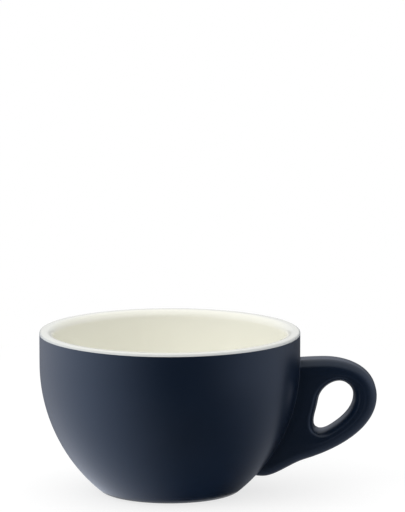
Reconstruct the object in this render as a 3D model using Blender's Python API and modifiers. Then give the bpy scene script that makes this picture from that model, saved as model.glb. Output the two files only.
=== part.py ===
"""Cappuccino cup: a thick-walled clay bowl, a luted handle and the glaze coats over them.

Lengths are in metres and +Z is up. The cup stands on z = 0 with its handle along +X, and the
origin is under the middle of its footprint. Profiles are (radius, height) pairs about the bowl's
axis, and the handle's outline lies in the plane through that axis.
"""
import math

import bmesh
import bpy
import numpy as np

# Bowl, measured over its glaze
RIM_DIAMETER = 0.0950
CUP_HEIGHT = 0.0595
STRAIGHT_WALL = 0.0120          # upright stretch from the lip down to the belly
BASE_DIAMETER = 0.0503          # where the belly's curve meets the base plane
BASE_EDGE_RADIUS = 0.0025
WALL = 0.0052
FLOOR = 0.0068
FLOOR_FILLET = 0.0140           # between the inside floor and the belly
LIP_OUTER_RADIUS = 0.0008
LIP_INNER_RADIUS = 0.0018

# Bare foot ring under the base
FOOT_PROUD = 0.0005             # how far the ring stands below the glazed base
FOOT_SET_IN = 0.0016            # from the end of the base's rounded edge to the ring
FOOT_RING_WIDTH = 0.0034
FOOT_EDGE_RADIUS = 0.0004
FOOT_RECESS = 0.0020            # height of the recess inside the ring

# Glaze coats and the slip under the handle
GLAZE = 0.0004
SLIP = 0.0005
BOND_GAP = 0.0003               # clearance kept between layers that are bonded
LINER_SKIRT = 0.0002            # inside coat runs this far below the lip's outer rounding

# Handle, measured over its glaze
HANDLE_REACH = 0.0279           # from the rim's wall out to the nose
HANDLE_DROP = 0.0101            # from the lip down to the crest of the handle
HANDLE_TIP_HEIGHT = 0.0060      # lowest point of the handle above the table
HANDLE_THICKNESS = 0.0130
HANDLE_EDGE_RADIUS = 0.0032
CREST_OUT = 0.0087              # crest of the handle beyond the rim's wall
NOSE_DROP = 0.0138              # from the crest down to the nose
SWEEP_OUT = 0.0018              # turning point of the lower edge beyond the rim's wall
SWEEP_RISE = 0.0063             # the same point above the tip
SWEEP_SLOPE = 17.0              # slope of the lower edge there, in degrees
TIP_OUT = 0.0028                # lowest point of the tip beyond the belly
ROOT_DIP = 0.0010               # fall of the top edge from its crest to its hidden root
ROOT_DEPTH = 0.0080             # how far the outline is carried on inside the wall
RING_SIDE = 0.0085              # clay between the finger hole and the nose
RING_BAND = 0.0069              # clay above and below the finger hole
WEB = 0.0079                    # clay between the finger hole and the bowl
HOLE_ROUND_TOP = 0.0093         # rounding of the finger hole at its top
HOLE_ROUND_LOW = 0.0065         # the same at its lower end

# Fineness of the faceted surfaces
SEGMENTS = 48
BELLY_STEPS = 7
FILLET_STEPS = 3
LIP_STEPS = 2
EDGE_POINTS = 46
HOLE_POINTS = 36
EDGE_STEPS = 2
CURVE_POINTS = 60
RAY_STEP = 1.5                  # degrees between the rays that find the finger hole
RAY_POINTS = 400
WELD = 0.00001                  # points closer than this are one

# Limits of the rounded edges
LEAST_ROUND = 0.1               # share of an edge's rounding that is left in the layers below it
RING_SHARE = 0.44               # share of the ring that one rounded edge of it may take

# Finishes: colour, roughness, specular level
BISQUE = ((0.78, 0.75, 0.69), 0.80, 0.30)
SLIP_CLAY = ((0.72, 0.69, 0.63), 0.85, 0.30)
CREAM_GLOSS = ((0.84, 0.81, 0.70), 0.12, 0.50)
NAVY_MATT = ((0.010, 0.016, 0.030), 0.48, 0.45)

# Derived from the sizes above
RIM_RADIUS = RIM_DIAMETER / 2
SHOULDER_Z = CUP_HEIGHT - STRAIGHT_WALL
BELLY_RUN = RIM_RADIUS - BASE_DIAMETER / 2
BELLY_FALL = SHOULDER_Z - FOOT_PROUD
BELLY_RADIUS = (BELLY_RUN ** 2 + BELLY_FALL ** 2) / (2 * BELLY_RUN)
BELLY_AXIS = RIM_RADIUS - BELLY_RADIUS
CLAY_DEPTH = GLAZE + BOND_GAP
COLOUR_LINE_Z = CUP_HEIGHT - LIP_OUTER_RADIUS - LINER_SKIRT
EDGE_LIMIT = RING_SHARE * min(RING_BAND, RING_SIDE, HANDLE_THICKNESS)
HANDLE_ROUND = min(HANDLE_EDGE_RADIUS, EDGE_LIMIT)


def arc(centre, radius, start, end, steps):
    """Points on a circle from one angle to another, both in degrees."""
    angles = np.radians(np.linspace(start, end, steps + 1))
    return [(centre[0] + radius * math.cos(a), centre[1] + radius * math.sin(a)) for a in angles]


def round_below(radius, depth):
    """Rounding of an outer edge at a depth below the glaze."""
    return max(radius - depth, LEAST_ROUND * radius)


def base_round_centre(inset, floor_z, fillet):
    """Radius at which a fillet touches both the belly's arc and a flat floor."""
    reach = BELLY_RADIUS - inset - fillet
    fall = SHOULDER_Z - floor_z - fillet
    return BELLY_AXIS + math.sqrt(reach ** 2 - fall ** 2)


def side(inset, floor_z, fillet):
    """Belly arc from the shoulder down, then the fillet that ends on the floor."""
    centre = base_round_centre(inset, floor_z, fillet)
    meeting = math.degrees(math.atan2(SHOULDER_Z - floor_z - fillet, centre - BELLY_AXIS))
    belly = arc((BELLY_AXIS, SHOULDER_Z), BELLY_RADIUS - inset, 0, -meeting, BELLY_STEPS)
    return belly + arc((centre, floor_z + fillet), fillet, -meeting, -90, FILLET_STEPS)[1:]


def outside(depth):
    """The bowl's outside from the shoulder to its base, depth below the glaze."""
    return side(depth, FOOT_PROUD + depth, round_below(BASE_EDGE_RADIUS, depth))


def inside(depth):
    """The bowl's inside from the shoulder to its floor, depth below the glaze."""
    return side(WALL - depth, FOOT_PROUD + FLOOR - depth, FLOOR_FILLET + depth)


def lip(depth):
    """The lip from its inner to its outer side, depth below the glaze."""
    top = CUP_HEIGHT - depth
    inner = RIM_RADIUS - WALL + depth
    outer = RIM_RADIUS - depth
    inner_round = round_below(LIP_INNER_RADIUS, depth)
    outer_round = round_below(LIP_OUTER_RADIUS, depth)
    rise = arc((inner + inner_round, top - inner_round), inner_round, 180, 90, LIP_STEPS)
    fall = arc((outer - outer_round, top - outer_round), outer_round, 90, 0, LIP_STEPS)
    return rise + fall


def foot_radii():
    """Outer and inner radius of the bare foot ring."""
    outer = base_round_centre(0, FOOT_PROUD, BASE_EDGE_RADIUS) - FOOT_SET_IN
    return outer, outer - FOOT_RING_WIDTH


def wall_radius(height):
    """Outside radius of the bowl at a height on its belly or wall."""
    fall = max(SHOULDER_Z - height, 0.0)
    return BELLY_AXIS + math.sqrt(BELLY_RADIUS ** 2 - fall ** 2)


def bend(start, heading, end, end_heading, pull, end_pull):
    """Cubic curve between two points.

    Headings are in degrees. Each pull is a share of the chord: the larger, the fuller the curve
    at that end.
    """
    start, end = np.array(start), np.array(end)
    chord = np.linalg.norm(end - start)
    leave = start + chord * pull * np.array([math.cos(math.radians(heading)),
                                             math.sin(math.radians(heading))])
    arrive = end - chord * end_pull * np.array([math.cos(math.radians(end_heading)),
                                                math.sin(math.radians(end_heading))])
    t = np.linspace(0, 1, CURVE_POINTS, endpoint=False)[:, None]
    return ((1 - t) ** 3 * start + 3 * (1 - t) ** 2 * t * leave
            + 3 * (1 - t) * t ** 2 * arrive + t ** 3 * end)


def handle_edge():
    """Outer edge of the handle: crest, nose, lower sweep and tip, closed inside the bowl."""
    crest = (RIM_RADIUS + CREST_OUT, CUP_HEIGHT - HANDLE_DROP)
    nose = (RIM_RADIUS + HANDLE_REACH, crest[1] - NOSE_DROP)
    sweep = (RIM_RADIUS + SWEEP_OUT, HANDLE_TIP_HEIGHT + SWEEP_RISE)
    tip = (wall_radius(HANDLE_TIP_HEIGHT) + TIP_OUT, HANDLE_TIP_HEIGHT)
    heel = (tip[0] - TIP_OUT - ROOT_DEPTH, tip[1] + ROOT_DEPTH)
    root = (RIM_RADIUS - ROOT_DEPTH, crest[1] - ROOT_DIP)
    nape = (heel[0], root[1] - ROOT_DEPTH)
    falling = 180 + SWEEP_SLOPE
    return np.concatenate([
        bend(crest, 0, nose, -90, 0.44, 0.37),
        bend(nose, -90, sweep, falling, 0.33, 0.38),
        bend(sweep, falling, tip, 180, 0.34, 0.28),
        bend(tip, 180, heel, 90, 0.40, 0.40),
        bend(heel, 90, nape, 90, 0.33, 0.33),
        bend(nape, 90, root, 5, 0.40, 0.40),
        bend(root, 5, crest, 0, 0.33, 0.33),
    ])


def finger_hole():
    """Teardrop that keeps its distance from the handle's edge and from the bowl.

    Along rays from its middle it ends where both spare distances are used up, rounded off where
    the two meet. Distances to the edge are shortened sideways, because the nose is thicker.
    """
    edge = handle_edge()
    sideways = RING_BAND / RING_SIDE
    nose = edge[edge[:, 0].argmax()]
    middle = np.array([(wall_radius(nose[1]) + WEB + nose[0] - RING_SIDE) / 2, nose[1]])
    angles = np.radians(np.arange(0, 360, RAY_STEP))
    rays = np.stack([np.cos(angles), np.sin(angles)], axis=1)
    reach = HANDLE_REACH * np.linspace(0, 1, RAY_POINTS)
    points = middle + rays[:, None, :] * reach[None, :, None]
    to_edge = np.full(points.shape[:2], np.inf)
    for spot in edge[::3]:
        away = points - spot
        to_edge = np.minimum(to_edge, np.hypot(away[..., 0] * sideways, away[..., 1]))
    fall = np.maximum(SHOULDER_Z - points[..., 1], 0)
    to_bowl = np.hypot(points[..., 0] - BELLY_AXIS, fall) - BELLY_RADIUS
    rounding = HOLE_ROUND_LOW + (HOLE_ROUND_TOP - HOLE_ROUND_LOW) * (1 + rays[:, 1:]) / 2
    near_edge = np.maximum(rounding + RING_BAND - to_edge, 0)
    near_bowl = np.maximum(rounding + WEB - to_bowl, 0)
    over = np.hypot(near_edge, near_bowl) - rounding
    ray = np.arange(len(rays))
    first = (over > 0).argmax(axis=1)
    spare, excess = -over[ray, first - 1], over[ray, first]
    ends = reach[first - 1] + reach[1] * spare / (spare + excess)
    return middle + rays * ends[:, None]


def resample(outline, count):
    """Closed outline of count points, which gather where it turns."""
    step = np.roll(outline, -1, axis=0) - outline
    length = np.hypot(step[:, 0], step[:, 1])
    heading = np.arctan2(step[:, 1], step[:, 0])
    turn = np.abs(np.angle(np.exp(1j * (np.roll(heading, -1) - heading))))
    pace = np.concatenate([[0], np.cumsum(length / length.sum() + turn / turn.sum())])
    closed = np.concatenate([outline, outline[:1]])
    stops = np.linspace(0, pace[-1], count, endpoint=False)
    return np.stack([np.interp(stops, pace, closed[:, k]) for k in (0, 1)], axis=1)


def make_collection(name):
    collection = bpy.data.collections.new(name)
    bpy.context.scene.collection.children.link(collection)
    return collection


def make_material(name, finish):
    """Principled surface of one colour, for one piece."""
    colour, roughness, specular = finish
    material = bpy.data.materials.new(name)
    material.use_nodes = True
    shader = material.node_tree.nodes["Principled BSDF"]
    shader.inputs["Base Color"].default_value = (*colour, 1)
    shader.inputs["Roughness"].default_value = roughness
    shader.inputs["Specular IOR Level"].default_value = specular
    shader.inputs["Metallic"].default_value = 0
    return material


def place(name, mesh, collection, frame, finish=None):
    """Put a mesh on the cup's frame, as a piece with a finish or as a hidden cutter."""
    piece = bpy.data.objects.new(name, mesh)
    collection.objects.link(piece)
    piece.parent = frame
    if finish is None:
        piece.hide_render = True
        piece.display_type = "WIRE"
    else:
        mesh.materials.append(make_material(name, finish))
    return piece


def turned(name, profile, closed, collection, frame, finish=None):
    """Turn a profile about the bowl's axis; a closed profile makes a ring or a shell."""
    count = len(profile)
    edges = [(i, i + 1) for i in range(count - 1)]
    if closed:
        edges.append((count - 1, 0))
    mesh = bpy.data.meshes.new(name)
    mesh.from_pydata([(r, 0, z) for r, z in profile], edges, [])
    piece = place(name, mesh, collection, frame, finish)
    screw = piece.modifiers.new("turn", "SCREW")
    screw.axis = "Z"
    screw.angle = math.tau
    screw.steps = SEGMENTS
    screw.render_steps = SEGMENTS
    screw.use_merge_vertices = True
    screw.merge_threshold = WELD
    screw.use_smooth_shade = True
    return piece


def cut(piece, operation, cutter):
    boolean = piece.modifiers.new(f"{operation.lower()}_{cutter.name}", "BOOLEAN")
    boolean.operation = operation
    boolean.solver = "EXACT"
    boolean.object = cutter


def bowl_plug(name, depth, collection, frame):
    """Filled bowl whose side lies depth below the glaze, for fitting pieces to its outside."""
    profile = [(0, CUP_HEIGHT), (RIM_RADIUS - depth, CUP_HEIGHT)]
    profile += outside(depth)
    profile.append((0, FOOT_PROUD + depth))
    return turned(name, profile, False, collection, frame)


def handle_blank(name, depth, collection, frame, finish=None):
    """Handle with rounded edges and its finger hole, depth below its glaze, root not yet cut."""
    curve = bpy.data.curves.new(name, "CURVE")
    curve.dimensions = "2D"
    curve.fill_mode = "BOTH"
    curve.extrude = HANDLE_THICKNESS / 2 - HANDLE_ROUND
    curve.bevel_depth = HANDLE_ROUND - depth
    curve.bevel_resolution = EDGE_STEPS
    curve.offset = -HANDLE_ROUND
    for outline, count in ((handle_edge(), EDGE_POINTS), (finger_hole(), HOLE_POINTS)):
        spline = curve.splines.new("POLY")
        spline.points.add(count - 1)
        spline.use_cyclic_u = True
        points = np.zeros((count, 4))
        points[:, :2] = resample(outline, count)
        points[:, 3] = 1
        spline.points.foreach_set("co", points.ravel())
    flat = bpy.data.objects.new(name + "_outline", curve)
    flat.rotation_euler.x = math.pi / 2
    collection.objects.link(flat)
    bpy.context.view_layer.update()
    mesh = bpy.data.meshes.new_from_object(flat.evaluated_get(bpy.context.evaluated_depsgraph_get()))
    mesh.transform(flat.matrix_world)
    bpy.data.objects.remove(flat)
    welded = bmesh.new()
    welded.from_mesh(mesh)
    bmesh.ops.remove_doubles(welded, verts=welded.verts, dist=WELD)
    bmesh.ops.recalc_face_normals(welded, faces=welded.faces)
    welded.to_mesh(mesh)
    welded.free()
    mesh.name = name
    mesh.shade_smooth()
    return place(name, mesh, collection, frame, finish)


def make_bowl(parts, frame):
    """Clay body: floor and wall, rounded lip, belly and the bare foot ring with its recess."""
    outer, inner = foot_radii()
    recess_z = FOOT_RECESS + CLAY_DEPTH
    floor_z = FOOT_PROUD + FLOOR - CLAY_DEPTH
    profile = [(0, floor_z)]
    profile += reversed(inside(CLAY_DEPTH))
    profile += lip(CLAY_DEPTH)
    profile += outside(CLAY_DEPTH)
    profile.append((outer, FOOT_PROUD + CLAY_DEPTH))
    profile += arc((outer - FOOT_EDGE_RADIUS, FOOT_EDGE_RADIUS), FOOT_EDGE_RADIUS, 0, -90, LIP_STEPS)
    profile += arc((inner + FOOT_EDGE_RADIUS, FOOT_EDGE_RADIUS), FOOT_EDGE_RADIUS, -90, -180, LIP_STEPS)
    profile += [(inner, recess_z), (0, recess_z)]
    turned("bowl", profile, False, parts, frame, BISQUE)


def make_inside_glaze(parts, frame):
    """Gloss coat on the floor and wall, over the lip and down to the colour line."""
    profile = [(0, FOOT_PROUD + FLOOR)]
    profile += reversed(inside(0))
    profile += lip(0)
    profile += [(RIM_RADIUS, COLOUR_LINE_Z), (RIM_RADIUS - GLAZE, COLOUR_LINE_Z)]
    profile += reversed(lip(GLAZE))
    profile += inside(GLAZE)
    profile.append((0, FOOT_PROUD + FLOOR - GLAZE))
    turned("inside_glaze", profile, False, parts, frame, CREAM_GLOSS)


def make_outside_glaze(parts, frame, opening):
    """Matt coat from the colour line round the base edge to the foot, open at the handle's root."""
    top = COLOUR_LINE_Z - BOND_GAP
    end = foot_radii()[0] + BOND_GAP
    profile = [(RIM_RADIUS, top)]
    profile += outside(0)
    profile += [(end, FOOT_PROUD), (end, FOOT_PROUD + GLAZE)]
    profile += reversed(outside(GLAZE))
    profile.append((RIM_RADIUS - GLAZE, top))
    piece = turned("outside_glaze", profile, True, parts, frame, NAVY_MATT)
    cut(piece, "DIFFERENCE", opening)


def make_underside_glaze(parts, frame):
    """Coat on the roof of the recess inside the foot ring."""
    edge = foot_radii()[1] - BOND_GAP
    top = FOOT_RECESS + GLAZE
    profile = [(0, top), (edge, top), (edge, FOOT_RECESS), (0, FOOT_RECESS)]
    turned("underside_glaze", profile, False, parts, frame, NAVY_MATT)


def make_handle(parts, cutters, frame):
    """Clay ear, the slip film under its root and the coat round it; returns the coat's opening."""
    slip_under = CLAY_DEPTH - BOND_GAP
    slip_over = slip_under - SLIP
    handle = handle_blank("handle", CLAY_DEPTH, parts, frame, BISQUE)
    cut(handle, "DIFFERENCE", bowl_plug("handle_cope", slip_over - BOND_GAP, cutters, frame))

    film = handle_blank("handle_slip_joint", CLAY_DEPTH, parts, frame, SLIP_CLAY)
    cut(film, "DIFFERENCE", bowl_plug("slip_inner_face", slip_under, cutters, frame))
    cut(film, "INTERSECT", bowl_plug("slip_outer_face", slip_over, cutters, frame))

    opening = handle_blank("handle_clearance", GLAZE, cutters, frame)
    coat = handle_blank("handle_glaze", 0, parts, frame, NAVY_MATT)
    cut(coat, "DIFFERENCE", opening)
    cut(coat, "DIFFERENCE", bowl_plug("glaze_cope", -BOND_GAP, cutters, frame))
    return opening


def make_cup():
    """Build every piece on a frame that puts the middle of the footprint at the origin."""
    for old in list(bpy.data.objects):
        bpy.data.objects.remove(old)
    parts = make_collection("cappuccino_cup")
    cutters = make_collection("cutters")
    frame = bpy.data.objects.new("cup_axis", None)
    parts.objects.link(frame)
    frame.location.x = -HANDLE_REACH / 2
    opening = make_handle(parts, cutters, frame)
    make_bowl(parts, frame)
    make_inside_glaze(parts, frame)
    make_outside_glaze(parts, frame, opening)
    make_underside_glaze(parts, frame)


make_cup()
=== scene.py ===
"""Looks of the cappuccino cup: glazed ceramic on a white studio floor.

Lengths are in metres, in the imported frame. Shapes are worked out about the bowl's own axis, as
(radius, height) pairs or as points whose x counts from that axis, and moved onto the frame last.
"""

import math

import bmesh
import bpy
import numpy as np
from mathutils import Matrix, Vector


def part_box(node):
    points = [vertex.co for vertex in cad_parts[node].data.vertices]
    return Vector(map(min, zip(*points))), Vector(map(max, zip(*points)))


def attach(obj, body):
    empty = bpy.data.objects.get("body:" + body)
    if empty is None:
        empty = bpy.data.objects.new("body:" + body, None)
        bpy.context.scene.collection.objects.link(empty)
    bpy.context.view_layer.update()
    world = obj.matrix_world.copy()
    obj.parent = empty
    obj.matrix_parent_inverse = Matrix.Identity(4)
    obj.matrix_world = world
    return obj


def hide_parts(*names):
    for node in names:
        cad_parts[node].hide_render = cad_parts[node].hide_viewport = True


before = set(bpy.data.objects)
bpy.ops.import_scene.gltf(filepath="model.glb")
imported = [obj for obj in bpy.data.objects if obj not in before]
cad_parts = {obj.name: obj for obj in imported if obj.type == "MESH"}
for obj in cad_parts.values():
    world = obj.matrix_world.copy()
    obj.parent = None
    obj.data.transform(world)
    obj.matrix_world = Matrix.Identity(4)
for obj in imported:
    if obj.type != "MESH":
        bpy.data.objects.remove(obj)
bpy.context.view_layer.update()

MM = 0.001

# From the frame
LINER_LOW, LINER_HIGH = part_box("inside_glaze")
EAR_LOW, EAR_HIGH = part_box("handle_glaze")
AXIS_X = (LINER_LOW.x + LINER_HIGH.x) / 2
RIM_RADIUS = (LINER_HIGH.y - LINER_LOW.y) / 2
CUP_HEIGHT = LINER_HIGH.z
EAR_HALF = (EAR_HIGH.y - EAR_LOW.y) / 2

# Bowl, measured over its glaze
STRAIGHT_WALL = 12.0 * MM
BASE_RADIUS = 25.15 * MM          # where the belly's curve meets the base plane
BASE_EDGE = 2.5 * MM
WALL = 5.2 * MM
FLOOR = 6.8 * MM
FLOOR_FILLET = 14.0 * MM
LIP_OUTER = 0.8 * MM
LIP_INNER = 2.8 * MM
LINER_SKIRT = 0.2 * MM            # cream runs this far below the lip's outer rounding
DIP_WANDER = 0.07 * MM            # how far the line between the two glazes strays
DIP_REACH = 0.4 * MM              # height over which the glazes follow that line
DIP_WAVES = ((0.6, 2, 0.4), (0.4, 5, 1.1))  # share, waves round the cup, phase

# Layers
GLAZE = 0.4 * MM
CLAY_DEPTH = 0.7 * MM             # clay below the glaze's surface; a gap is left under the coat
HAIRLINE = 0.02 * MM              # gap between coats that meet

# Foot
FOOT_PROUD = 0.5 * MM             # the ring stands this far below the base
FOOT_SET_IN = 1.6 * MM            # from where the base turns flat in to the ring
FOOT_RING = 3.4 * MM              # width of the ring
FOOT_EDGE = 0.4 * MM
FOOT_RECESS = 2.0 * MM            # height of the recess within the ring, up to its glaze
WELL_EDGE = 0.15 * MM             # rounded edge of the coat in the recess

# Handle: radii and heights of the points that its edge runs through
CREST = (RIM_RADIUS + 8.7 * MM, EAR_HIGH.z)
NOSE = (EAR_HIGH.x - AXIS_X, EAR_HIGH.z - 13.8 * MM)
SWEEP = (RIM_RADIUS + 1.8 * MM, EAR_LOW.z + 6.3 * MM)
SWEEP_SLOPE = 17.0                # degrees by which the edge falls inwards at the sweep
TIP_OUT = 2.8 * MM                # tip, out from the belly
ROOT_DIP = 1.0 * MM               # root, down from the crest
ROOT_DEPTH = 8.0 * MM             # how far the edge's ends lie inside the bowl
RING_SIDE = 8.5 * MM              # between the finger hole and the nose
RING_BAND = 7.05 * MM             # above and below the finger hole
WEB = 7.9 * MM                    # between the finger hole and the bowl
HOLE_ROUND_TOP = 9.3 * MM         # rounding of the hole's outline at its top
HOLE_ROUND_LOW = 6.5 * MM         # and at its lower end
EAR_EDGE = 3.7 * MM               # rounding of the handle's outer edge
HOLE_EDGE = 2.6 * MM              # rounding of the finger hole's edge, towards the face
HOLE_SPREAD = 5.9 * MM            # and through the thickness
EAR_CROWN = 0.12 * MM             # swell of the handle's flat faces
ROOT_FILLET = 0.3 * MM            # glaze and slip in the corner between handle and bowl

# Derived
SHOULDER_Z = CUP_HEIGHT - STRAIGHT_WALL
BELLY_RUN = RIM_RADIUS - BASE_RADIUS
BELLY_FALL = SHOULDER_Z - FOOT_PROUD
BELLY_RADIUS = (BELLY_RUN ** 2 + BELLY_FALL ** 2) / (2 * BELLY_RUN)
BELLY_AXIS = RIM_RADIUS - BELLY_RADIUS
COLOUR_LINE = CUP_HEIGHT - LIP_OUTER - LINER_SKIRT

# Fineness of the meshes: points on each stretch
TURN_STEPS = 288                  # round the bowl
BELLY_STEPS = 56
BASE_STEPS = 20                   # fillet below the belly
LIP_INNER_STEPS = 14
LIP_TOP_STEPS = 8
LIP_OUTER_STEPS = 10
WALL_STEPS = 12                   # upright wall of the clay and the liner
COAT_WALL_STEPS = 16              # the same on the navy coat
FOOT_STEPS = 8
WELL_STEPS = 6
BEND_STEPS = 400                  # each curve of the handle's edge
PATH_STEPS = 3000                 # whole edge, spaced evenly
PATH_SKIP = 4                     # the finger hole measures to every fourth of these
EDGE_STEPS = 300                  # band along the edge
EDGE_ROUND_STEPS = 14             # across that band: its rounding, then half of its wall
EDGE_WALL_STEPS = 5
ROOT_STEPS = 110
FACE_STEPS = 14
HOLE_TURN = np.radians(np.arange(0, 360, 0.25))
HOLE_ROUND_STEPS = 18
HOLE_WALL_STEPS = 3
HALVINGS = 24
FILLET_STEPS = 10
WELD = HAIRLINE / 20
SHARP_ANGLE = 40                  # degrees between faces, above which their edge stays sharp

# Studio
FLOOR_HALF = 4.0
FLOOR_LIT = 0.74                  # glow that brings the floor close to the cup up to white
SHADOW_FADE = (0.10, 0.30)        # the shadow fades out between these distances
POOL_PLACE = (AXIS_X, -0.055, 0)  # pool of light on the floor before the cup
POOL_FADE = (0.02, 0.07)
POOL_STRENGTH = 1.1
CEILING_RISE = (0.1, 0.6)         # upward part of a direction, over which the ceiling brightens
CEILING_STRENGTH = (0.1, 1.34)
KEY_AZIMUTH = -60                 # 0 is the camera's side and 90 its right
KEY_ELEVATION = 34
KEY_DISTANCE = 1.2
KEY_SIZE = 1.0
KEY_POWER = 4.6

# Cards that the glaze mirrors
CARD_REACH = 2.5
FLOOR_CARD_START = 0.026          # just outside the base
FLOOR_CARD_EVEN = 0.4             # reach from which the floor card no longer changes
FLOOR_CARD_Z = 0.0004
FLOOR_CARD_ROWS = 5
FLOOR_CARD_TWIST = 20             # degrees by which its glows are turned at its start
ROOM_CARD_EVEN = 0.5              # height from which the room card no longer changes
ROOM_CARD_TOP = 2.2
ROOM_CARD_ROWS = 5
CARD_TURN = np.linspace(-180, 180, 121)
# Glows at left, right and back: middle and fade in degrees, strength at the start and where even
FLOOR_GLOWS = ((-90, 90, 1.3, 1.9), (85, 70, 0.3, 0.8), (180, 65, 0.1, 0.3))
ROOM_GLOWS = ((-95, 90, 0.75, 1.0), (90, 75, 0.75, 1.1), (180, 75, 0.1, 0.7))

# Photograph: pixels count from its upper left corner
IMAGE = (405, 512)
CAMERA_DISTANCE = 1.5
CAMERA_ELEVATION = 11.29
PIXELS_PER_METRE = 2736.7         # at the target
TARGET_HEIGHT = 30.5 * MM
TARGET_PIXEL = (169.97, 408.51)   # where the bowl's axis is at that height
SENSOR = 36.0


def arc(centre, radius, start, end, count):
    """Points on a circle: the centre plus the radius, turned evenly from one angle to another."""
    turn = np.radians(np.linspace(start, end, count))
    return np.stack([centre[0] + radius * np.cos(turn), centre[1] + radius * np.sin(turn)], axis=1)


def line(start, end, count):
    """Points spaced evenly on a straight line, without its last point."""
    return np.linspace(start, end, count, endpoint=False)


def base_round(inset, floor_z, fillet):
    """Radius at which a fillet touches both the belly's arc and a flat floor."""
    return BELLY_AXIS + math.sqrt((BELLY_RADIUS - inset - fillet) ** 2
                                  - (SHOULDER_Z - floor_z - fillet) ** 2)


def side(inset, floor_z, fillet):
    """Belly's arc from the shoulder down, moved in by inset, then the fillet down to the floor."""
    centre = base_round(inset, floor_z, fillet)
    meeting = math.degrees(math.atan2(SHOULDER_Z - floor_z - fillet, centre - BELLY_AXIS))
    belly = arc((BELLY_AXIS, SHOULDER_Z), BELLY_RADIUS - inset, 0, -meeting, BELLY_STEPS)
    base = arc((centre, floor_z + fillet), fillet, -meeting, -90, BASE_STEPS)
    return np.concatenate([belly, base[1:]])


def outside(depth):
    """Outside of the bowl from the shoulder to the base, depth below the glaze."""
    return side(depth, FOOT_PROUD + depth, BASE_EDGE - depth)


def inside(depth):
    """Inside of the bowl from the shoulder to the floor, depth below the glaze."""
    return side(WALL - depth, FOOT_PROUD + FLOOR - depth, FLOOR_FILLET + depth)


def lip(depth):
    """Lip from its inner side over the top to its outer side: two quarter rounds and a flat."""
    top = CUP_HEIGHT - depth
    inner = RIM_RADIUS - WALL + depth
    outer = RIM_RADIUS - depth
    rise = arc((inner + LIP_INNER - depth, top - LIP_INNER + depth), LIP_INNER - depth, 180, 90,
               LIP_INNER_STEPS)
    fall = arc((outer - LIP_OUTER + depth, top - LIP_OUTER + depth), LIP_OUTER - depth, 90, 0,
               LIP_OUTER_STEPS)
    return np.concatenate([rise[:-1], line(rise[-1], fall[0], LIP_TOP_STEPS), fall])


def foot_radii():
    """Outer and inner radius of the bare foot ring."""
    outer = base_round(0, FOOT_PROUD, BASE_EDGE) - FOOT_SET_IN
    return outer, outer - FOOT_RING


def turned(profile):
    """Surface of revolution: each (radius, height) carried round the axis in even steps.

    Heights near the line between the glazes follow two slow waves round the cup.
    """
    profile = np.asarray(profile)
    turn = np.linspace(0, math.tau, TURN_STEPS, endpoint=False)
    radius, height = profile[:, :1], profile[:, 1:]
    waves = sum(share * np.sin(count * turn + phase) for share, count, phase in DIP_WAVES)
    nearness = np.exp(-((height - COLOUR_LINE) / DIP_REACH) ** 2)
    height = height + DIP_WANDER * nearness * waves
    return np.stack([radius * np.cos(turn), radius * np.sin(turn), height], axis=2)


def grid_faces(rows, columns, rows_close, columns_close, first):
    """Corner numbers of the quads between neighbouring rows and columns of a grid of points."""
    row = np.arange(rows if rows_close else rows - 1)[:, None]
    column = np.arange(columns if columns_close else columns - 1)[None, :]
    next_row, next_column = (row + 1) % rows, (column + 1) % columns
    corners = [row * columns + column, row * columns + next_column,
               next_row * columns + next_column, next_row * columns + column]
    return first + np.stack(corners, axis=2).reshape(-1, 4)


def make_piece(name, sheets, material, slot, *nodes):
    """Weld grids of points into one smooth mesh on the frame, in place of the CAD nodes.

    Each sheet is its points, whether its rows close on themselves and whether its columns do.
    """
    points, faces, first = [], [], 0
    for grid, rows_close, columns_close in sheets:
        rows, columns = grid.shape[:2]
        points.append(grid.reshape(-1, 3))
        faces.append(grid_faces(rows, columns, rows_close, columns_close, first))
        first += rows * columns
    points = np.concatenate(points) + (AXIS_X, 0, 0)
    mesh = bpy.data.meshes.new(name)
    mesh.from_pydata(points, [], np.concatenate(faces))
    welded = bmesh.new()
    welded.from_mesh(mesh)
    bmesh.ops.remove_doubles(welded, verts=welded.verts, dist=WELD)
    bmesh.ops.recalc_face_normals(welded, faces=welded.faces)
    welded.to_mesh(mesh)
    welded.free()
    mesh.shade_smooth()
    mesh.set_sharp_from_angle(angle=math.radians(SHARP_ANGLE))
    mesh.materials.append(material)
    piece = bpy.data.objects.new(name, mesh)
    bpy.context.scene.collection.objects.link(piece)
    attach(piece, "root")
    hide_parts(*nodes)
    return piece


def make_bowl(material):
    """Clay bowl: inside, lip, outside, bare foot ring and the recess within it, turned."""
    outer, inner = foot_radii()
    recess = FOOT_RECESS + CLAY_DEPTH
    shoulder = (RIM_RADIUS - CLAY_DEPTH, SHOULDER_Z)
    rim = lip(CLAY_DEPTH)
    profile = np.concatenate([
        [(0, FOOT_PROUD + FLOOR - CLAY_DEPTH)],
        inside(CLAY_DEPTH)[::-1],
        rim,
        line(rim[-1], shoulder, WALL_STEPS)[1:],
        outside(CLAY_DEPTH),
        [(outer, FOOT_PROUD + CLAY_DEPTH)],
        arc((outer - FOOT_EDGE, FOOT_EDGE), FOOT_EDGE, 0, -90, FOOT_STEPS),
        arc((inner + FOOT_EDGE, FOOT_EDGE), FOOT_EDGE, -90, -180, FOOT_STEPS),
        [(inner, recess), (0, recess)],
    ])
    make_piece("clay_bowl", [(turned(profile), False, True)], material, "bisque", "bowl")


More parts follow.
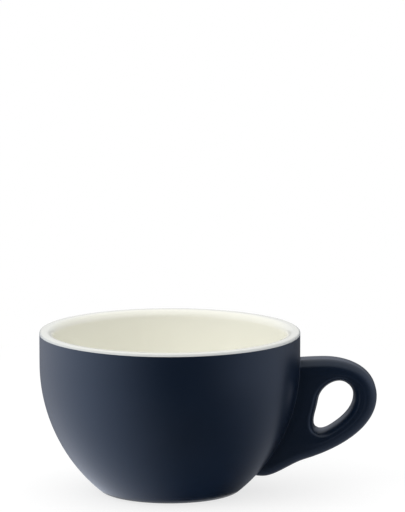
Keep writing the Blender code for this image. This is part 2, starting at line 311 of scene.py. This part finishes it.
def make_liner(material):
    """Cream coat: the inside and the lip down to the colour line, and back at the coat's depth."""
    rim, under = lip(0), lip(GLAZE)
    profile = np.concatenate([
        [(0, FOOT_PROUD + FLOOR)],
        inside(0)[::-1],
        line((RIM_RADIUS - WALL, SHOULDER_Z), rim[0], WALL_STEPS)[1:],
        rim,
        [(RIM_RADIUS, COLOUR_LINE), (RIM_RADIUS - GLAZE, COLOUR_LINE)],
        under[::-1],
        inside(GLAZE),
        [(0, FOOT_PROUD + FLOOR - GLAZE)],
    ])
    make_piece("cream_liner", [(turned(profile), False, True)], material, "cream_glaze",
               "inside_glaze")


def make_bowl_coat(material):
    """Navy coat: from the colour line down the wall and belly to the foot ring, and back."""
    top = COLOUR_LINE - HAIRLINE
    end = foot_radii()[0] + HAIRLINE
    profile = np.concatenate([
        line((RIM_RADIUS, top), (RIM_RADIUS, SHOULDER_Z), COAT_WALL_STEPS),
        outside(0),
        [(end, FOOT_PROUD), (end, FOOT_PROUD + GLAZE)],
        outside(GLAZE)[::-1],
        [(RIM_RADIUS - GLAZE, top)],
    ])
    make_piece("bowl_coat", [(turned(profile), True, True)], material, "navy_glaze",
               "outside_glaze")


def make_well_coat(material):
    """Navy coat on the roof of the recess: a shallow disc with a rounded lower edge, turned."""
    edge = foot_radii()[1] - HAIRLINE
    top = FOOT_RECESS + GLAZE
    profile = np.concatenate([
        [(0, top), (edge, top)],
        arc((edge - WELL_EDGE, FOOT_RECESS + WELL_EDGE), WELL_EDGE, 0, -90, WELL_STEPS),
        [(0, FOOT_RECESS)],
    ])
    make_piece("well_coat", [(turned(profile), False, True)], material, "navy_glaze",
               "underside_glaze")


def wall_radius(height, off=0):
    """Radius of the bowl's glazed outside at a height, or of the surface that lies off it by off."""
    fall = np.maximum(SHOULDER_Z - height, 0)
    return BELLY_AXIS + np.sqrt((BELLY_RADIUS + off) ** 2 - fall ** 2)


def bowl_gap(points):
    """Distance of points from the bowl's glazed outside: the belly's arc and the upright wall."""
    fall = np.maximum(SHOULDER_Z - points[..., 2], 0)
    return np.hypot(np.hypot(points[..., 0], points[..., 1]) - BELLY_AXIS, fall) - BELLY_RADIUS


def to_bowl(points):
    """Unit directions from points straight to the bowl: against the slope of bowl_gap."""
    radius = np.hypot(points[..., 0], points[..., 1])
    fall = np.maximum(SHOULDER_Z - points[..., 2], 0)
    out = radius - BELLY_AXIS
    inward = -out / np.hypot(out, fall)
    upward = fall / np.hypot(out, fall)
    return np.stack([inward * points[..., 0] / radius, inward * points[..., 1] / radius, upward],
                    axis=-1)


def bend(start, heading, end, end_heading, pull, end_pull):
    """Cubic curve between two points; headings in degrees, pulls as shares of the chord."""
    start, end = np.array(start), np.array(end)
    chord = np.linalg.norm(end - start)
    leaving, arriving = np.radians(heading), np.radians(end_heading)
    leave = start + chord * pull * np.array([np.cos(leaving), np.sin(leaving)])
    arrive = end - chord * end_pull * np.array([np.cos(arriving), np.sin(arriving)])
    t = np.linspace(0, 1, BEND_STEPS, endpoint=False)[:, None]
    return ((1 - t) ** 3 * start + 3 * (1 - t) ** 2 * t * leave
            + 3 * (1 - t) * t ** 2 * arrive + t ** 3 * end)


def ear_edge():
    """Handle's outer edge from its root in the wall round to its heel, and its outward normals.

    Cubic curves run through root, crest, nose, sweep, tip and heel; the path is spaced evenly.
    """
    belly = wall_radius(EAR_LOW.z)
    tip = (belly + TIP_OUT, EAR_LOW.z)
    heel = (belly - ROOT_DEPTH, EAR_LOW.z + ROOT_DEPTH)
    root = (RIM_RADIUS - ROOT_DEPTH, CREST[1] - ROOT_DIP)
    falling = 180 + SWEEP_SLOPE
    path = np.concatenate([
        bend(root, 5, CREST, 0, 0.33, 0.33),
        bend(CREST, 0, NOSE, -90, 0.44, 0.37),
        bend(NOSE, -90, SWEEP, falling, 0.33, 0.38),
        bend(SWEEP, falling, tip, 180, 0.34, 0.28),
        bend(tip, 180, heel, 90, 0.40, 0.40),
    ])
    run = np.concatenate([[0], np.cumsum(np.hypot(*np.diff(path, axis=0).T))])
    even = np.linspace(0, run[-1], PATH_STEPS)
    path = np.stack([np.interp(even, run, path[:, k]) for k in (0, 1)], axis=1)
    along = np.gradient(path, axis=0)
    along /= np.linalg.norm(along, axis=1)[:, None]
    return path, np.stack([-along[:, 1], along[:, 0]], axis=1)


def finger_hole(edge):
    """Teardrop hole: its middle, and its outline at every quarter of a degree round the middle.

    Along each ray from the middle it ends where the spare distances to the handle's edge and to
    the bowl are used up, rounded off where the two meet, which is found by halving. Distances to
    the edge are shortened sideways, because the nose is thicker.
    """
    middle = np.array([(wall_radius(NOSE[1]) + WEB + NOSE[0] - RING_SIDE) / 2, NOSE[1]])
    rays = np.stack([np.cos(HOLE_TURN), np.sin(HOLE_TURN)], axis=1)
    rounding = HOLE_ROUND_LOW + (HOLE_ROUND_TOP - HOLE_ROUND_LOW) * (1 + rays[:, 1]) / 2
    near, far = np.zeros(len(rays)), np.full(len(rays), (NOSE[0] - RIM_RADIUS) / 2)
    for _ in range(HALVINGS):
        reach = (near + far) / 2
        outline = middle + rays * reach[:, None]
        away = outline[:, None] - edge[None, ::PATH_SKIP]
        to_edge = np.hypot(away[..., 0] * RING_BAND / RING_SIDE, away[..., 1]).min(axis=1)
        from_bowl = bowl_gap(np.insert(outline, 1, 0, axis=1))
        beyond = np.hypot(np.maximum(rounding + RING_BAND - to_edge, 0),
                          np.maximum(rounding + WEB - from_bowl, 0)) > rounding
        near, far = np.where(beyond, near, reach), np.where(beyond, reach, far)
    return middle, outline


def rounded_edge(rounding, spread, round_steps, wall_steps):
    """Half of an edge's section: from the face over a quarter ellipse to the middle of the wall.

    The ellipse is rounding deep and takes up spread of the thickness. Gives the depth from the
    wall, the place across the thickness and the angle from the face's normal to the wall's.
    """
    turn = np.radians(np.linspace(0, 90, round_steps))
    straight = np.zeros(wall_steps)
    depth = np.concatenate([rounding * (1 - np.sin(turn)), straight])
    across = np.concatenate([spread * (1 - np.cos(turn)) - EAR_HALF,
                             np.linspace(spread - EAR_HALF, 0, wall_steps + 1)[1:]])
    angle = np.concatenate([np.arctan2(spread * np.sin(turn), rounding * np.cos(turn)),
                            straight + math.pi / 2])
    return depth, across, angle


def mirrored(half):
    """A half surface and its mirror image in the plane of the handle, row by row."""
    return np.concatenate([half, half[-2::-1] * (1, -1, 1)])


def carried(edge, normal, places):
    """Handle's section carried along its edge: points and normals at fractional places of the path.

    Places has a row for each point of the section. A point lies its own depth inside the edge and
    its own distance across the thickness, and its normal turns from the face's to the edge's.
    """
    section = rounded_edge(EAR_EDGE, EAR_EDGE, EDGE_ROUND_STEPS, EDGE_WALL_STEPS)
    depth, across, angle = (values[:, None] for values in section)
    x, z, normal_x, normal_z = (np.interp(places, np.arange(len(edge)), values)
                                for values in (*edge.T, *normal.T))
    out = np.sin(angle)
    points = np.stack([x - depth * normal_x, across + 0 * x, z - depth * normal_z], axis=2)
    normals = np.stack([out * normal_x, 0 * x - np.cos(angle), out * normal_z], axis=2)
    return points, normals


def edge_band(edge, normal):
    """Band round the handle's edge: the carried section, with each row cut where the fillet begins.

    That is where a ball of the fillet's radius, resting on the row, has no room left to the bowl.
    """
    row = np.arange(EDGE_ROUND_STEPS + EDGE_WALL_STEPS)
    points, normals = carried(edge, normal, np.arange(len(edge)) + 0 * row[:, None])
    room = bowl_gap(points + ROOT_FILLET * normals) - ROOT_FILLET
    top = (room > 0).argmax(axis=1)
    low = len(edge) - 1 - (room[:, ::-1] > 0).argmax(axis=1)
    start = top - room[row, top] / (room[row, top] - room[row, top - 1])
    end = low + room[row, low] / (room[row, low] - room[row, low + 1])
    share = np.linspace(0, 1, EDGE_STEPS + 1)
    return carried(edge, normal, start[:, None] + (end - start)[:, None] * share)


def face_root(bottom, top):
    """Line between two heights where the fillet's ball touches the handle's face.

    The ball's middle is one radius off the face and one radius off the bowl.
    """
    height = np.linspace(bottom, top, ROOT_STEPS + 1)[1:-1]
    out = np.sqrt(wall_radius(height, ROOT_FILLET) ** 2 - (EAR_HALF + ROOT_FILLET) ** 2)
    return np.stack([out, 0 * height - EAR_HALF, height], axis=1)


def pierced_face(rim, edge):
    """Face of the handle: straight lines from its rim in to the finger hole, then the hole's edge.

    Each line ends where the ray from the hole's middle to the rim crosses the hole. The face
    swells by a squared sine along the lines.
    """
    middle, hole = finger_hole(edge)
    along = np.roll(hole, -1, axis=0) - np.roll(hole, 1, axis=0)
    along /= np.linalg.norm(along, axis=1)[:, None]
    facing = np.arctan2(rim[:, 2] - middle[1], rim[:, 0] - middle[0])
    x, z, along_x, along_z = (np.interp(facing, HOLE_TURN, values, period=math.tau)
                              for values in (*hole.T, *along.T))
    section = rounded_edge(HOLE_EDGE, HOLE_SPREAD, HOLE_ROUND_STEPS, HOLE_WALL_STEPS)
    depth, across, _ = (values[:, None] for values in section)
    hole_edge = np.stack([x + depth * along_z, across + 0 * x, z - depth * along_x], axis=2)
    blend = np.linspace(0, 1, FACE_STEPS, endpoint=False)[:, None, None]
    face = rim + (hole_edge[0] - rim) * blend
    face[..., 1] -= EAR_CROWN * np.sin(math.pi * blend[..., 0]) ** 2
    return np.concatenate([face, hole_edge])


def root_fillet(contact, outwards):
    """Fillet along the handle's root: the path of a ball that rolls between handle and bowl.

    From each contact on the handle it turns evenly about the ball's middle, to the bowl.
    """
    ball = contact + ROOT_FILLET * outwards
    start, finish = -outwards, to_bowl(ball)
    angle = np.arccos(np.clip((start * finish).sum(axis=1), -1, 1))[:, None]
    step = np.linspace(0, 1, FILLET_STEPS)[:, None, None]
    rolled = (np.sin((1 - step) * angle) * start + np.sin(step * angle) * finish) / np.sin(angle)
    return ball + ROOT_FILLET * rolled


def make_handle_coat(material):
    """Navy coat of the handle: a band round its edge, two pierced faces and a fillet at its root.

    The band and the faces end where the fillet's ball touches them. All of it is given the
    coat's thickness inwards.
    """
    edge, normal = ear_edge()
    band, band_normals = edge_band(edge, normal)
    root = face_root(band[0, -1, 2], band[0, 0, 2])
    face = pierced_face(np.concatenate([band[0], root]), edge)
    contact = np.concatenate([band[::-1, 0], root[::-1], band[:, -1]])
    outwards = np.concatenate([band_normals[::-1, 0], root * 0 + (0, -1, 0), band_normals[:, -1]])
    fillet = root_fillet(mirrored(contact)[:-1], mirrored(outwards)[:-1])
    piece = make_piece("handle_coat", [
        (mirrored(band), False, False),
        (mirrored(face), False, True),
        (fillet, False, True),
    ], material, "navy_glaze", "handle_glaze")
    coat = piece.modifiers.new("coat", "SOLIDIFY")
    coat.thickness = GLAZE
    coat.offset = -1


def linear(hex_colour):
    """Linear colour of an sRGB hex value."""
    srgb = np.array([int(hex_colour[k:k + 2], 16) for k in (1, 3, 5)]) / 255
    return (*np.where(srgb <= 0.04045, srgb / 12.92, ((srgb + 0.055) / 1.055) ** 2.4), 1.0)


def add(tree, kind, inputs=None, **settings):
    """Add a node with its settings; inputs hold values, or the sockets that feed them."""
    made = tree.nodes.new(kind)
    for name, value in settings.items():
        setattr(made, name, value)
    for name, value in (inputs or {}).items():
        if isinstance(value, bpy.types.NodeSocket):
            tree.links.new(value, made.inputs[name])
        else:
            made.inputs[name].default_value = value
    return made


def start_material(name):
    """Material with a plain Principled surface; gives it, its nodes and Object coordinates."""
    material = bpy.data.materials.new(name)
    material.use_nodes = True
    tree = material.node_tree
    place = add(tree, "ShaderNodeTexCoord").outputs["Object"]
    return material, tree, tree.nodes["Principled BSDF"], place


def matt_navy_glaze():
    """Satin-matt stoneware glaze: a skin of tiny crystals, so highlights are broad and dull."""
    material, tree, surface, place = start_material("matt_navy_glaze")
    cloud = add(tree, "ShaderNodeTexNoise", {"Vector": place, "Scale": 1 / (11 * MM), "Detail": 3.0})
    # The real crystals are well under 0.1 mm, so their grain is drawn coarser, to show at all
    grain = add(tree, "ShaderNodeTexNoise", {"Vector": place, "Scale": 1 / (0.7 * MM), "Detail": 2.0})
    colour = add(tree, "ShaderNodeMix", {"Factor": cloud.outputs["Fac"], "A": linear("#0a1627"),
                                         "B": linear("#0d1a2c")}, data_type="RGBA")
    rough = add(tree, "ShaderNodeMapRange", {"Value": grain.outputs["Fac"], "To Min": 0.28,
                                             "To Max": 0.34})
    bump = add(tree, "ShaderNodeBump", {"Height": grain.outputs["Fac"], "Strength": 0.2,
                                        "Distance": 0.02 * MM})
    tree.links.new(colour.outputs["Result"], surface.inputs["Base Color"])
    tree.links.new(rough.outputs["Result"], surface.inputs["Roughness"])
    tree.links.new(bump.outputs["Normal"], surface.inputs["Normal"])
    surface.inputs["Specular IOR Level"].default_value = 0.56
    surface.inputs["Specular Tint"].default_value = linear("#e1eeff")
    return material


def gloss_cream_glaze():
    """Glossy liner glaze: a smooth glassy coat with clear highlights, a little uneven in tone.

    Over the lip's outer rounding its colour is greyed outwards, a painted shade.
    """
    material, tree, surface, place = start_material("gloss_cream_glaze")
    cloud = add(tree, "ShaderNodeTexNoise", {"Vector": place, "Scale": 1 / (16 * MM), "Detail": 2.0})
    colour = add(tree, "ShaderNodeMix", {"Factor": cloud.outputs["Fac"], "A": linear("#f3f2e7"),
                                         "B": linear("#f5f4ea")}, data_type="RGBA")
    flat = add(tree, "ShaderNodeVectorMath", {0: place, 1: (1, 1, 0)}, operation="MULTIPLY")
    radius = add(tree, "ShaderNodeVectorMath", {0: flat.outputs["Vector"], 1: (AXIS_X, 0, 0)},
                 operation="DISTANCE")
    # Painted shade: over the lip's outer rounding the colour is greyed towards its outer edge
    edge_shade = add(tree, "ShaderNodeMapRange", {"Value": radius.outputs["Value"],
                                            "From Min": RIM_RADIUS - LIP_OUTER,
                                            "From Max": RIM_RADIUS, "To Max": 0.9})
    edge_shaded_colour = add(tree, "ShaderNodeMix", {"Factor": edge_shade.outputs["Result"],
                                            "A": colour.outputs["Result"],
                                            "B": linear("#c9cccc")}, data_type="RGBA")
    # Ripples left from the melt are nearer 1 mm; they are drawn coarser, to show in highlights
    peel = add(tree, "ShaderNodeTexNoise", {"Vector": place, "Scale": 1 / (3 * MM), "Detail": 1.0})
    bump = add(tree, "ShaderNodeBump", {"Height": peel.outputs["Fac"], "Strength": 0.15,
                                        "Distance": 0.03 * MM})
    rough = add(tree, "ShaderNodeMapRange", {"Value": peel.outputs["Fac"], "To Min": 0.12,
                                             "To Max": 0.17})
    tree.links.new(edge_shaded_colour.outputs["Result"], surface.inputs["Base Color"])
    tree.links.new(rough.outputs["Result"], surface.inputs["Roughness"])
    tree.links.new(bump.outputs["Normal"], surface.inputs["Normal"])
    return material


def fired_clay(name, light, dark):
    """Bare fired clay: dry and matt, with a fine sandy grain and darker specks."""
    material, tree, surface, place = start_material(name)
    # The sand in such clay is finer than 0.2 mm, so it is drawn coarser, to show at all
    sand = add(tree, "ShaderNodeTexNoise", {"Vector": place, "Scale": 1 / (0.5 * MM), "Detail": 4.0})
    colour = add(tree, "ShaderNodeMix", {"Factor": sand.outputs["Fac"], "A": linear(dark),
                                         "B": linear(light)}, data_type="RGBA")
    bump = add(tree, "ShaderNodeBump", {"Height": sand.outputs["Fac"], "Strength": 0.5,
                                        "Distance": 0.05 * MM})
    rough = add(tree, "ShaderNodeMapRange", {"Value": sand.outputs["Fac"], "To Min": 0.94,
                                             "To Max": 0.8})
    tree.links.new(colour.outputs["Result"], surface.inputs["Base Color"])
    tree.links.new(rough.outputs["Result"], surface.inputs["Roughness"])
    tree.links.new(bump.outputs["Normal"], surface.inputs["Normal"])
    surface.inputs["Specular IOR Level"].default_value = 0.3
    return material


def finish_hidden(node, material):
    """Give a CAD node that stays under the coats its own finish."""
    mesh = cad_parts[node].data
    mesh.materials.clear()
    mesh.materials.append(material)


def seen_directly(tree):
    """Share that is 1 where a camera, glossy or transmission ray sees the surface, and 0 otherwise."""
    path = add(tree, "ShaderNodeLightPath")
    mirrored_too = add(tree, "ShaderNodeMath", operation="MAXIMUM")
    tree.links.new(path.outputs["Is Camera Ray"], mirrored_too.inputs[0])
    tree.links.new(path.outputs["Is Glossy Ray"], mirrored_too.inputs[1])
    through_too = add(tree, "ShaderNodeMath", operation="MAXIMUM")
    tree.links.new(mirrored_too.outputs[0], through_too.inputs[0])
    tree.links.new(path.outputs["Is Transmission Ray"], through_too.inputs[1])
    return through_too.outputs[0]


def stage_mesh(name, grid):
    """Grid of points as a piece of the studio, with an empty material of the same name."""
    rows, columns = grid.shape[:2]
    mesh = bpy.data.meshes.new(name)
    mesh.from_pydata(grid.reshape(-1, 3), [], grid_faces(rows, columns, False, False, 0))
    stage = bpy.data.objects.new(name, mesh)
    bpy.context.scene.collection.objects.link(stage)
    material = bpy.data.materials.new(name)
    material.use_nodes = True
    material.node_tree.nodes.clear()
    material.cycles.emission_sampling = "NONE"
    mesh.materials.append(material)
    return stage, material.node_tree


def make_floor():
    """White floor: seen as white, with a faint shadow close to the cup.

    To the light that it throws back at the cup it is a pale card with a soft pool of light.
    """
    half = np.array([-FLOOR_HALF, FLOOR_HALF])
    x, y = np.meshgrid(half, half)
    _, tree = stage_mesh("white_floor", np.stack([x, y, 0 * x], axis=2))
    place = add(tree, "ShaderNodeTexCoord").outputs["Object"]

    white = add(tree, "ShaderNodeBsdfDiffuse", {"Color": linear("#f2f2f2")})
    before = add(tree, "ShaderNodeVectorMath", {0: place, 1: POOL_PLACE}, operation="DISTANCE")
    pool = add(tree, "ShaderNodeMapRange", {"Value": before.outputs["Value"],
                                            "From Min": POOL_FADE[0], "From Max": POOL_FADE[1],
                                            "To Min": POOL_STRENGTH, "To Max": 0.0},
               interpolation_type="SMOOTHSTEP")
    lit = add(tree, "ShaderNodeEmission", {"Strength": pool.outputs["Result"]})
    card = add(tree, "ShaderNodeAddShader")
    tree.links.new(white.outputs[0], card.inputs[0])
    tree.links.new(lit.outputs[0], card.inputs[1])

    shaded = add(tree, "ShaderNodeBsdfDiffuse", {"Color": linear("#989898")})
    glow = add(tree, "ShaderNodeEmission", {"Strength": FLOOR_LIT})
    near = add(tree, "ShaderNodeAddShader")
    tree.links.new(shaded.outputs[0], near.inputs[0])
    tree.links.new(glow.outputs[0], near.inputs[1])
    far = add(tree, "ShaderNodeEmission", {"Strength": 1.0})
    away = add(tree, "ShaderNodeVectorMath", {"Vector": place}, operation="LENGTH")
    fade = add(tree, "ShaderNodeMapRange", {"Value": away.outputs["Value"],
                                            "From Min": SHADOW_FADE[0], "From Max": SHADOW_FADE[1]},
               interpolation_type="SMOOTHSTEP")
    seen = add(tree, "ShaderNodeMixShader", {"Fac": fade.outputs["Result"]})
    tree.links.new(near.outputs[0], seen.inputs[1])
    tree.links.new(far.outputs[0], seen.inputs[2])

    mix = add(tree, "ShaderNodeMixShader", {"Fac": seen_directly(tree)})
    tree.links.new(card.outputs[0], mix.inputs[1])
    tree.links.new(seen.outputs[0], mix.inputs[2])
    out = add(tree, "ShaderNodeOutputMaterial")
    tree.links.new(mix.outputs[0], out.inputs["Surface"])


def make_flag(name, reach, height, share, twist, glows):
    """Pale card that only reflections show: a profile turned round the cup, with soft glows.

    Reach and height give the profile's points, and share runs along it from 0 to 1. A glow is a
    squared cosine over the azimuth, from its middle to where it has faded out. With share, its
    strength goes evenly from its first value to its second, and its twist to nothing.
    """
    reach, height, share = reach[:, None], height[:, None], share[:, None]
    turn = np.radians(CARD_TURN)
    grid = np.stack([reach * np.sin(turn) + AXIS_X, -reach * np.cos(turn), height + 0 * turn], axis=2)
    flag, tree = stage_mesh(name, grid)
    middle, fade, first, second = np.array(glows).T[:, :, None, None]
    apart = np.abs((CARD_TURN - twist * (1 - share) - middle + 180) % 360 - 180)
    glow = np.cos(math.pi / 2 * np.minimum(apart / fade, 1)) ** 2
    tone = ((first + (second - first) * share) * glow).sum(axis=0)
    graded = flag.data.attributes.new("tone", "FLOAT", "POINT")
    graded.data.foreach_set("value", tone.ravel().astype(np.float32))
    shade = add(tree, "ShaderNodeAttribute", attribute_name="tone")
    card = add(tree, "ShaderNodeEmission", {"Color": linear("#ebf1ff"),
                                            "Strength": shade.outputs["Fac"]})
    out = add(tree, "ShaderNodeOutputMaterial")
    tree.links.new(card.outputs[0], out.inputs["Surface"])
    flag.visible_camera = False
    flag.visible_diffuse = False
    flag.visible_transmission = False
    flag.visible_shadow = False


def make_floor_flag():
    """Card on the floor: its reach grows by even factors until the card no longer changes."""
    share = np.linspace(0, 1, FLOOR_CARD_ROWS)
    reach = FLOOR_CARD_START * (FLOOR_CARD_EVEN / FLOOR_CARD_START) ** share
    reach, share = np.append(reach, CARD_REACH), np.append(share, 1)
    make_flag("floor_flag", reach, FLOOR_CARD_Z + 0 * reach, share, FLOOR_CARD_TWIST, FLOOR_GLOWS)


def make_room_flag():
    """Upright card round the room: it changes with the square of its height until it is even."""
    height = np.append(np.linspace(0, ROOM_CARD_EVEN, ROOM_CARD_ROWS), ROOM_CARD_TOP)
    share = np.minimum(height / ROOM_CARD_EVEN, 1) ** 2
    make_flag("room_flag", CARD_REACH + 0 * height, height, share, 0, ROOM_GLOWS)


def make_world():
    """White studio: what it sends to the cup comes mostly from above."""
    world = bpy.data.worlds.new("white_studio")
    bpy.context.scene.world = world
    world.use_nodes = True
    world.cycles.sampling_method = "NONE"
    tree = world.node_tree
    tree.nodes.clear()
    towards = add(tree, "ShaderNodeTexCoord").outputs["Generated"]
    split = add(tree, "ShaderNodeSeparateXYZ", {"Vector": towards})
    ceiling = add(tree, "ShaderNodeMapRange", {"Value": split.outputs["Z"],
                                               "From Min": CEILING_RISE[0],
                                               "From Max": CEILING_RISE[1],
                                               "To Min": CEILING_STRENGTH[0],
                                               "To Max": CEILING_STRENGTH[1]},
                  interpolation_type="SMOOTHSTEP")
    strength = add(tree, "ShaderNodeMix", {"Factor": seen_directly(tree),
                                           "A": ceiling.outputs["Result"], "B": 1.0},
                   data_type="FLOAT")
    background = add(tree, "ShaderNodeBackground", {"Strength": strength.outputs["Result"]})
    out = add(tree, "ShaderNodeOutputWorld")
    tree.links.new(background.outputs[0], out.inputs["Surface"])


def make_key_softbox():
    """Square area lamp that faces the cup from the left. The glaze doesn't mirror it."""
    lamp = bpy.data.lights.new("key_softbox", "AREA")
    lamp.shape = "RECTANGLE"
    lamp.size = KEY_SIZE
    lamp.size_y = KEY_SIZE
    lamp.energy = KEY_POWER
    box = bpy.data.objects.new("key_softbox", lamp)
    bpy.context.scene.collection.objects.link(box)
    turn, lift = math.radians(KEY_AZIMUTH), math.radians(KEY_ELEVATION)
    box.location = (AXIS_X + KEY_DISTANCE * math.sin(turn) * math.cos(lift),
                    -KEY_DISTANCE * math.cos(turn) * math.cos(lift),
                    TARGET_HEIGHT + KEY_DISTANCE * math.sin(lift))
    box.rotation_euler = (math.pi / 2 - lift, 0, turn)
    box.visible_glossy = False


def make_camera():
    """Camera at the photograph's distance and height, turned until the bowl is at its pixel."""
    data = bpy.data.cameras.new("camera")
    camera = bpy.data.objects.new("camera", data)
    bpy.context.scene.collection.objects.link(camera)
    bpy.context.scene.camera = camera
    lift = math.radians(CAMERA_ELEVATION)
    focal = PIXELS_PER_METRE * CAMERA_DISTANCE
    aside = math.atan((IMAGE[0] / 2 - TARGET_PIXEL[0]) / (focal * math.cos(lift)))
    above = math.atan((TARGET_PIXEL[1] - IMAGE[1] / 2) / focal)
    data.sensor_width = SENSOR
    data.lens = SENSOR * focal / max(IMAGE)
    camera.location = (AXIS_X, -CAMERA_DISTANCE * math.cos(lift),
                       TARGET_HEIGHT + CAMERA_DISTANCE * math.sin(lift))
    camera.rotation_euler = (math.pi / 2 - lift + above, 0, -aside)


navy = matt_navy_glaze()
cream = gloss_cream_glaze()
bisque = fired_clay("bisque_stoneware", "#e0d8c9", "#cfc5b4")
slip = fired_clay("fired_slip", "#d8cfbf", "#c6bcab")

make_bowl(bisque)
make_liner(cream)
make_bowl_coat(navy)
make_well_coat(navy)
make_handle_coat(navy)
finish_hidden("handle", bisque)
finish_hidden("handle_slip_joint", slip)

make_floor()
make_floor_flag()
make_room_flag()
make_world()
make_key_softbox()
make_camera()
bpy.context.scene.view_settings.view_transform = "Standard"
